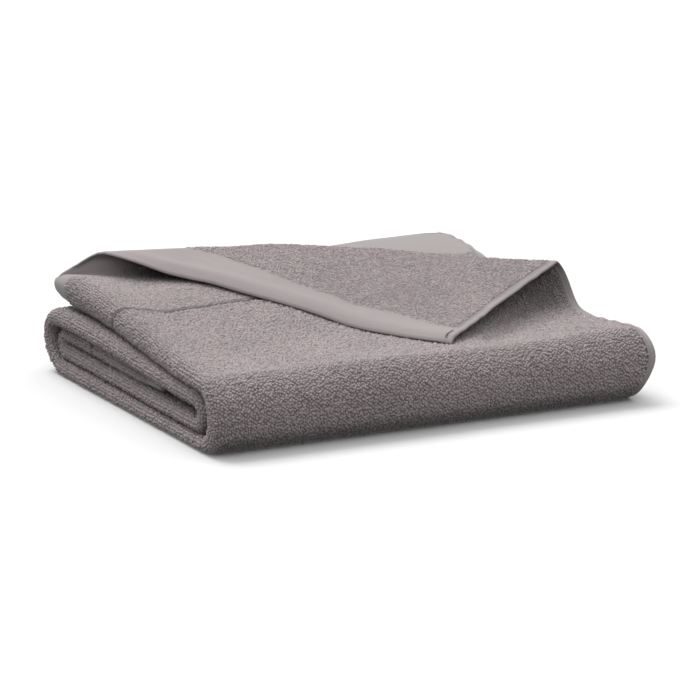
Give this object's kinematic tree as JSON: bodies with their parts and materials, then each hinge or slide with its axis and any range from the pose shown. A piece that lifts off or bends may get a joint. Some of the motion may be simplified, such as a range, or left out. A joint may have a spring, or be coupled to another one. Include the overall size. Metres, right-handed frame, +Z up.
{
  "type": "folded bath towel",
  "caption": "Bath towel folded to a thick pad, with its long fold at the left and the right corner of its top ply turned back over a loose fold.",
  "frame": {"origin": "middle of the footprint on the surface that the towel lies on", "axes": "+X to the right along the front fold, +Y to the back, +Z up"},
  "size_m": [0.3728, 0.3244, 0.1015],
  "materials": {
    "terry": "looped cotton pile, with flat woven end bands and side hems"
  },
  "bodies": {
    "root": {"towel": "terry"}
  },
  "joints": []
}
